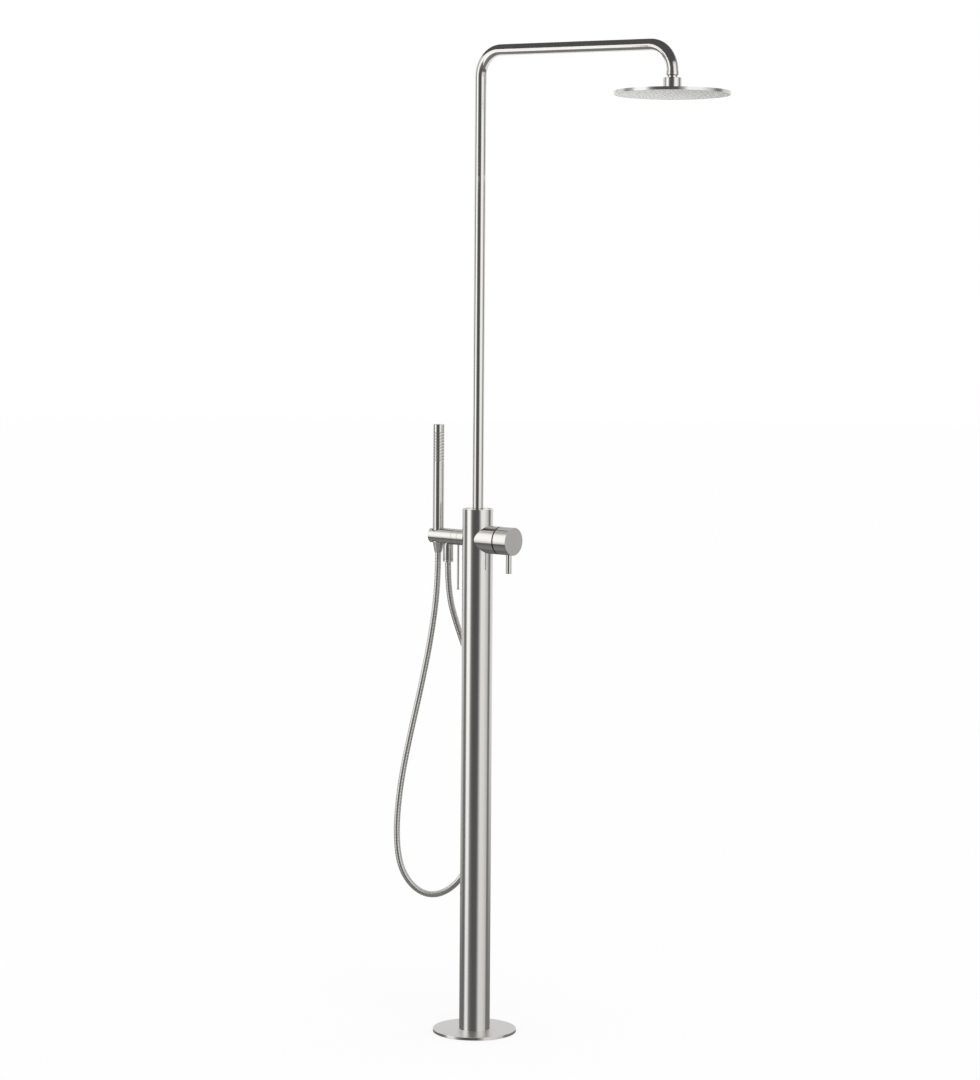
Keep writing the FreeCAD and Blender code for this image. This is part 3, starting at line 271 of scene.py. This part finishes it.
finishes = {
    # "grain" is the size of one mark along x, y and z, and "relief" its height, both in mm.
    # The roughness varies by "vary" over the marks, and the colour from "colour" to "worn".

    # drawn tube, ground and polished satin: soft-edged bands of reflection and hair lines round it.
    # A polisher's line is 0.03 mm wide, too fine to show, and is drawn 0.67 mm wide.
    "stainless_satin": {"name": "satin stainless steel tube", "metal": True,
                        "colour": "#D7D5D1", "worn": "#D4D2CE", "rough": 0.13, "vary": 0.02,
                        "grain": (3.3, 3.3, 0.67), "relief": 0.0012},
    # sheet brushed in long strokes, duller than the tubes. A stroke is 0.05 mm wide, drawn 0.67 mm.
    "stainless_face": {"name": "brushed stainless steel sheet", "metal": True,
                       "colour": "#DDDCD9", "worn": "#D9D8D5", "rough": 0.34, "vary": 0.06,
                       "grain": (0.67, 11, 3.3), "relief": 0.002},
    # bare brass turned on a lathe, a warm gleam in the fittings. A tool mark is 0.1 mm, drawn 0.67 mm.
    "brass": {"name": "turned brass", "metal": True,
              "colour": "#DAC080", "worn": "#CFB474", "rough": 0.25, "vary": 0.06,
              "grain": (3.3, 3.3, 0.67), "relief": 0.003},
    # wound steel strip, polished by use: marks of 1.4 mm, at random over ridges and grooves alike
    "metal_hose": {"name": "interlocked stainless steel hose", "metal": True,
                   "colour": "#E2E0DC", "worn": "#DAD8D4", "rough": 0.24, "vary": 0.06,
                   "grain": (1.4, 1.4, 1.4), "relief": 0.004},
    # acetal moulded in a spark-eroded tool: an even matt grain of 0.3 mm, drawn 0.8 mm
    "plastic": {"name": "moulded acetal", "metal": False,
                "colour": "#2C2C2D", "worn": "#262627", "rough": 0.5, "vary": 0.10,
                "grain": (0.8, 0.8, 0.8), "relief": 0.01},
    # pressed rubber with a bloom of talc on it: soft patches of 2 mm
    "rubber": {"name": "nitrile rubber", "metal": False,
               "colour": "#181818", "worn": "#131313", "rough": 0.6, "vary": 0.12,
               "grain": (2, 2, 2), "relief": 0.01},
    # pale matt silicone, with a trace of lime in patches of 2.5 mm
    "silicone": {"name": "moulded silicone", "metal": False,
                 "colour": "#EFEFEC", "worn": "#E9E9E5", "rough": 0.45, "vary": 0.10,
                 "grain": (2.5, 2.5, 2.5), "relief": 0.008},
}


def roughRange(tree, facts, grain):
    return addNode(tree, "MapRange", {}, {"To Min": facts["rough"] - facts["vary"] / 2,
                                          "To Max": facts["rough"] + facts["vary"] / 2},
                   {"Value": grain}).outputs[0]


def makeFinish(slot):
    facts = finishes[slot]
    material = bpy.data.materials.new(facts["name"])
    material.use_nodes = True
    tree = material.node_tree
    skin = tree.nodes["Principled BSDF"]
    skin.inputs["Metallic"].default_value = 1.0 if facts["metal"] else 0.0
    place = addNode(tree, "TexCoord").outputs["Object"]
    marks = tuple(1000 / size for size in facts["grain"])       # to the metre
    spread = addNode(tree, "Mapping", {}, {"Scale": marks}, {"Vector": place})
    grain = addNode(tree, "TexNoise", {}, {"Scale": 1.0, "Detail": 2.0},
                    {"Vector": spread.outputs[0]}).outputs["Fac"]
    tint = addNode(tree, "Mix", {"data_type": "RGBA"},
                   {6: linear(facts["colour"]), 7: linear(facts["worn"])}, {"Factor": grain})
    relief = addNode(tree, "Bump", {}, {"Strength": 1.0, "Distance": facts["relief"] / 1000},
                     {"Height": grain})
    tree.links.new(roughRange(tree, facts, grain), skin.inputs["Roughness"])
    tree.links.new(tint.outputs[2], skin.inputs["Base Color"])
    tree.links.new(relief.outputs[0], skin.inputs["Normal"])
    return material


finishOf = {slot: makeFinish(slot) for slot in finishes}
for part in frame["record"]["subparts"]:
    node = frame["nodes"][part["node"]]
    node.data.materials.clear()
    node.data.materials.append(finishOf[part["material_slot"]])

facesWithPaintedLight = {
    # satin pieces with a duller face that is also painted lighter, a painted highlight: "from" and "to" are metres
    # along the axis where it sets in

    # the handle's end is turned flat on a lathe and stays duller than its polished side; its lighter colour is a
    # painted highlight
    "handle_cap": {"name": "stainless steel handle, end duller and painted lighter", "axis": "Y", "from": -0.1043, "to": -0.1045,
                   "rough": 0.5, "vary": 0.06, "colour": "#E6E4E1"},
    # the cover's top is brushed, and its bent-down rim polished; the top's lighter colour is a painted highlight
    "base_cover": {"name": "brushed stainless steel cover, top painted lighter", "axis": "Z", "from": 0.0057, "to": 0.0061,
                   "rough": 0.33, "vary": 0.05, "colour": "#E9E7E4"},
    # the hose's cone nut is brushed all over and mirrors nothing sharply; its lighter colour is painted light
    "cone_nut": {"name": "brushed stainless steel cone, painted lighter", "axis": "Z", "from": 0, "to": 0.01,
                 "rough": 0.42, "vary": 0.06, "colour": "#EAE8E5"},
}


def faceFinishWithPaintedLight(node):
    facts = facesWithPaintedLight[node]
    material = makeFinish("stainless_satin")
    material.name = facts["name"]
    tree = material.node_tree
    skin = tree.nodes["Principled BSDF"]
    satin = skin.inputs["Roughness"].links[0].from_socket
    steel = skin.inputs["Base Color"].links[0].from_socket
    grain = tree.nodes["Noise Texture"].outputs["Fac"]
    place = addNode(tree, "TexCoord").outputs["Object"]
    level = addNode(tree, "SeparateXYZ", {}, {}, {"Vector": place}).outputs[facts["axis"]]
    onFaceWithPaintedLight = addNode(tree, "MapRange", {}, {"From Min": facts["from"], "From Max": facts["to"]},
                     {"Value": level}).outputs[0]
    # the lighter colour mixed in on the face is painted light
    tint = addNode(tree, "Mix", {"data_type": "RGBA"}, {7: linear(facts["colour"])},
                   {"Factor": onFaceWithPaintedLight, 6: steel})
    both = addNode(tree, "Mix", {}, {},
                   {"Factor": onFaceWithPaintedLight, "A": satin, "B": roughRange(tree, facts, grain)})
    tree.links.new(tint.outputs[2], skin.inputs["Base Color"])
    tree.links.new(both.outputs[0], skin.inputs["Roughness"])
    return material


for node in facesWithPaintedLight:
    frame["nodes"][node].data.materials[0] = faceFinishWithPaintedLight(node)
print("finishes made")

hose = {
    # metres, from the cone nut's foot down, round and up to the outlet nut's foot
    "route": ((0, .117, 1.102), (0, .117, 1.020), (-.010, .127, .905), (-.026, .143, .788),
              (-.043, .163, .670), (-.057, .179, .559), (-.063, .186, .454), (-.060, .179, .375),
              (-.044, .159, .326), (-.021, .130, .301), (.004, .098, .305), (.029, .066, .339),
              (.048, .041, .405), (.063, .023, .496), (.066, .018, .608), (.059, .025, .719),
              (.041, .044, .825), (.016, .071, .922), (0, .087, 1.004), (0, .087, 1.074)),
    "order": 3,             # of the smooth line that the route steers
    "smoothness": 32,       # straight steps between two points of the route
    "parting": 0.45,        # height at which the upper stretch meets the lower one
    "across": 0.0145,       # outside the ridges
    "groove": 0.0005,       # depth between the ridges
    "shoulder": 0.2,        # share of that depth at a ridge's two sides
    "pitch": 0.0034,        # one turn of the winding
    "sides": 20,
    "givesFrom": (0, .117, 0.48), "givesTo": (0, .117, 1.095),      # the span of the upper stretch, in metres
}


def hoseLine():
    curve = bpy.data.curves.new("hoseLine", "CURVE")
    curve.dimensions = "3D"
    curve.resolution_u = hose["smoothness"]
    line = curve.splines.new("NURBS")
    line.points.add(len(hose["route"]) - 1)
    for point, place in zip(line.points, hose["route"]):
        point.co = (*place, 1)
    line.order_u = hose["order"]
    line.use_endpoint_u = True
    holder = bpy.data.objects.new("hoseLine", curve)
    bpy.context.scene.collection.objects.link(holder)
    bpy.context.view_layer.update()
    mesh = bpy.data.meshes.new_from_object(holder)
    points = [v.co.copy() for v in mesh.vertices]
    bpy.data.objects.remove(holder)
    bpy.data.curves.remove(curve)
    bpy.data.meshes.remove(mesh)
    return points


def along(points, step):
    # places at even steps along the line, first and last point kept
    rounding = 1e-9         # m, without which the last point could be lost
    total = sum((b - a).length for a, b in zip(points, points[1:]))
    count = max(1, round(total / step))
    wanted = [total * i / count for i in range(count + 1)]
    places, walked, k = [], 0.0, 0
    for a, b in zip(points, points[1:]):
        run = (b - a).length
        while k < len(wanted) and wanted[k] <= walked + run + rounding:
            places.append(a.lerp(b, (wanted[k] - walked) / run if run else 0))
            k += 1
        walked += run
    return places, total


def ringedTube(name, points, material):
    # four stations to each turn of the winding: groove, rise, ridge, fall
    places, total = along(points, hose["pitch"] / 4)
    ridge = hose["across"] / 2
    shoulder = ridge - hose["groove"] * hose["shoulder"]
    radii = (ridge - hose["groove"], shoulder, ridge, shoulder)
    sides = hose["sides"]
    last = len(places) - 1
    verts, faces = [], []
    aside = Vector((1, 0, 0))
    for i, place in enumerate(places):
        ahead = (places[min(i + 1, last)] - places[max(i - 1, 0)]).normalized()
        aside = (aside - ahead * aside.dot(ahead)).normalized()
        other = ahead.cross(aside)
        for k in range(sides):
            turn = 2 * math.pi * k / sides
            verts.append(place + (aside * math.cos(turn) + other * math.sin(turn)) * radii[i % 4])
    for i in range(last):
        for k in range(sides):
            a, b = i * sides + k, i * sides + (k + 1) % sides
            faces.append((a, b, b + sides, a + sides))
    faces.append(tuple(reversed(range(sides))))
    faces.append(tuple(range(last * sides, (last + 1) * sides)))
    mesh = bpy.data.meshes.new(name)
    mesh.from_pydata(verts, [], faces)
    mesh.materials.append(material)
    tube = bpy.data.objects.new(name, mesh)
    bpy.context.scene.collection.objects.link(tube)
    for face in mesh.polygons:
        face.use_smooth = len(face.vertices) == 4
    return tube, places, total


def makeHose():
    line = hoseLine()
    split = next(i for i, p in enumerate(line) if p.z < hose["parting"])
    upper, upperPath, upperLong = ringedTube("hose_upper", line[:split + 1], finishOf["metal_hose"])
    lower, lowerPath, lowerLong = ringedTube("hose_lower", line[split:], finishOf["metal_hose"])
    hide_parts("shower_hose")
    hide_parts("shower_hose")
    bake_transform(upper)
    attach(lower, "post")
    print("hose hung,", round(upperLong, 3), "m and", round(lowerLong, 3), "m")


makeHose()

head = {
    "turnsOn": "head_tilt_side",
    "lean": 2.8, "leanSide": -50.5,         # degrees
    "nutFoot": -0.0097,                     # m, from the ball along the leaning head's axis
}


def hangHead():
    # where the swivel ball is, and how the head leans on it
    ball = next(joint["pos_m"] for joint in frame["joints"] if joint["name"] == head["turnsOn"])
    side = math.radians(head["leanSide"])
    axis = (math.cos(side), math.sin(side), 0)
    return Vector(ball), Matrix.Rotation(math.radians(-head["lean"]), 4, axis)


ball, lean = hangHead()


def deselectAll():
    if bpy.context.object and bpy.context.object.mode != "OBJECT":
        bpy.ops.object.mode_set(mode="OBJECT")
    bpy.ops.object.select_all(action="DESELECT")


def turnOutline(outline, sides, foot, way, hollow):
    # a ring at the outline's first point, extruded from point to point round the way it faces
    (size, level), *rest = [(r / 1000, h / 1000) for r, h in outline]
    deselectAll()
    bpy.ops.mesh.primitive_circle_add(vertices=sides, radius=size, location=foot + way * level,
                                      rotation=way.to_track_quat("Z", "Y").to_euler())
    bpy.ops.object.mode_set(mode="EDIT")
    bpy.ops.mesh.select_all(action="SELECT")
    for nextSize, nextLevel in rest:
        bpy.ops.mesh.extrude_edges_move(TRANSFORM_OT_translate={"value": way * (nextLevel - level)})
        bpy.ops.transform.resize(value=(nextSize / size,) * 3, center_override=foot + way * nextLevel)
        size, level = nextSize, nextLevel
    bpy.ops.mesh.select_all(action="DESELECT")
    bpy.ops.mesh.select_non_manifold()
    if hollow:
        bpy.ops.mesh.bridge_edge_loops()
    else:
        bpy.ops.mesh.fill_holes(sides=0)
    bpy.ops.mesh.select_all(action="SELECT")
    bpy.ops.mesh.normals_make_consistent(inside=False)
    bpy.ops.object.mode_set(mode="OBJECT")
    bpy.ops.object.transform_apply(location=True, rotation=True, scale=True)
    return bpy.context.object


turning = {"sides": 96, "edgeSteps": 3, "edgeAngle": 30, "smoothAngle": 10}      # degrees

fittings = {
    # turned on a lathe, in mm: "outline" is radius and height above the foot, from the bore's foot
    # round the outside, and "break" the width of a broken edge. A piece faces up, or its own way,
    # and its foot is in the middle of its CAD node's lower end, unless it says where, in metres.
    "cover_plate": {"node": "base_cover", "body": "post", "break": 0.45, "hollow": True,
                    "outline": ((35.3, 5.3), (93.8, 5.3), (93.8, 0), (95, 0), (95, 6.5), (35.3, 6.5))},
    "handle_shell": {"node": "handle_cap", "body": "mixer_handle", "break": 0.7, "hollow": False,
                     "way": (0, -1, 0),
                     "outline": ((2, 32.5), (29, 32.5), (29, 0), (31.5, 0), (31.5, 36.5), (2, 36.5))},
    "lever": {"node": "handle_pin", "body": "mixer_handle", "break": 0.8, "hollow": False,
              "outline": ((2, 0), (6.5, 0), (6.5, 46), (2, 46))},
    "switch_pin": {"node": "diverter_pin", "body": "diverter", "break": 0.35, "hollow": False,
                   "outline": ((0.8, 0), (3, 0), (3, 4), (2.5, 4.6), (2.5, 109), (0.8, 109))},
    # a fine groove runs round the nut near its foot
    "outlet_union": {"node": "outlet_nut", "body": "post", "break": 0.5, "hollow": True,
                     "outline": ((9.4, 0), (12, 0), (12, 3.2), (11.7, 3.5), (11.7, 4), (12, 4.3),
                                 (12, 39.7), (9.4, 39.7))},
    # its tip runs 8 mm down over the hose
    "hose_cone": {"node": "cone_nut", "body": "hose_end", "break": 0.35, "hollow": True,
                  "outline": ((7.4, -8), (8.1, -8), (8.4, -7.4), (9.9, 0), (13, 16), (13, 28.5),
                              (11.6, 28.5), (11.6, 13.5), (7.4, 0.5))},
    "arm_ring": {"node": "arm_ferrule", "body": "post", "break": 0.4, "hollow": True,
                 "outline": ((11.1, 0), (12.3, 0), (13.5, 1.4), (13.5, 9), (12.55, 9), (12.55, 2.5),
                             (11.1, 2.5))},
    # leans with the head, and its bore is the seat of the swivel ball
    "swivel_nut": {"node": "collar_nut", "body": "shower_head", "break": 0.4, "hollow": True,
                   "foot": ball + lean @ Vector((0, 0, head["nutFoot"])), "way": lean @ Vector((0, 0, 1)),
                   "outline": ((17.75, 0), (19.5, 0), (19.5, 20.2), (14.3, 20.2), (16.3, 16.8),
                               (17.45, 13.2), (17.75, 9.7))},
}


def footOf(node, way):
    # to the tenth of a millimetre, because the box of a faceted ring is a hair off its middle
    low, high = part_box(node)
    foot = (low + high) / 2 - way * abs(way.dot(high - low)) / 2
    return Vector([round(c, 4) for c in foot])


def makeFitting(name):
    facts = fittings[name]
    way = Vector(facts.get("way", (0, 0, 1)))
    foot = facts.get("foot") or footOf(facts["node"], way)
    piece = turnOutline(facts["outline"], turning["sides"], foot, way, facts["hollow"])
    piece.name = name
    edge = piece.modifiers.new("edge break", "BEVEL")
    edge.width = facts["break"] / 1000
    edge.segments = turning["edgeSteps"]
    edge.limit_method = "ANGLE"
    edge.angle_limit = math.radians(turning["edgeAngle"])
    bpy.ops.object.modifier_apply(modifier=edge.name)
    bpy.ops.object.shade_smooth_by_angle(angle=math.radians(turning["smoothAngle"]))
    piece.data.materials.clear()
    piece.data.materials.append(frame["nodes"][facts["node"]].data.materials[0])
    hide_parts(facts["node"])
    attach(piece, facts["body"])
    print("turned", name, "with", len(piece.data.polygons), "faces")


for name in fittings:
    makeFitting(name)

# the column's foot is as dark in the photograph as the rest, with no disc mirrored in it
bpy.data.objects["cover_plate"].visible_glossy = False
frame["nodes"]["base_flange"].visible_glossy = False

nozzles = {
    # one soft nozzle: radius and height under the face plate in mm, up to the hole in its tip
    "outline": ((2.1, 0.4), (2.1, 0), (2.35, -0.05), (2.35, -0.3), (2.0, -0.55), (1.45, -1.45),
                (1.3, -1.6), (0.65, -1.6), (0.55, -0.9)),
    "sides": 10, "smoothAngle": 40,         # degrees
    "rings": 6, "inFirstRing": 6,
    # in metres, heights from the ball on the head as it would hang level
    "pitch": 0.019, "faceLevel": -0.0248,
    "matSides": 96, "matSize": 0.119, "matLevel": -0.0230, "matThick": 0.0012,
}


def copyNozzles(first):
    # each ring has as many more as the first ring holds
    copies = []
    for ring in range(1, nozzles["rings"] + 1):
        reach, count = nozzles["pitch"] * ring, nozzles["inFirstRing"] * ring
        for number in range(count):
            turn = 2 * math.pi * number / count
            copy = first.copy()
            copy.data = first.data.copy()
            copy.location = (reach * math.cos(turn), reach * math.sin(turn), nozzles["faceLevel"])
            bpy.context.scene.collection.objects.link(copy)
            copies.append(copy)
    bpy.data.objects.remove(first)
    return copies


def makeMat():
    # the thin disc inside the head that the nozzles are moulded on
    deselectAll()
    bpy.ops.mesh.primitive_circle_add(vertices=nozzles["matSides"], radius=nozzles["matSize"],
                                      fill_type="NGON", location=(0, 0, nozzles["matLevel"]))
    bpy.ops.object.mode_set(mode="EDIT")
    bpy.ops.mesh.select_all(action="SELECT")
    bpy.ops.mesh.extrude_region_move(TRANSFORM_OT_translate={"value": (0, 0, nozzles["matThick"])})
    bpy.ops.mesh.select_all(action="SELECT")
    bpy.ops.mesh.normals_make_consistent(inside=False)
    bpy.ops.object.mode_set(mode="OBJECT")
    return bpy.context.object


def makeNozzles():
    first = turnOutline(nozzles["outline"], nozzles["sides"], Vector((0, 0, 0)), Vector((0, 0, 1)), False)
    bpy.ops.object.shade_smooth_by_angle(angle=math.radians(nozzles["smoothAngle"]))
    copies = copyNozzles(first)
    mat = makeMat()
    mat.name = "spray_nozzles"
    for copy in copies:
        copy.select_set(True)
    bpy.ops.object.join()
    bpy.ops.object.transform_apply(location=True, rotation=True, scale=True)
    mat.location = ball
    mat.rotation_euler = lean.to_euler()
    bpy.ops.object.transform_apply(location=True, rotation=True, scale=True)
    mat.data.materials.clear()
    mat.data.materials.append(finishOf["silicone"])
    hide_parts("head_nozzle_mat")
    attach(mat, "shower_head")
    print("nozzles set,", len(copies), "of them")


makeNozzles()
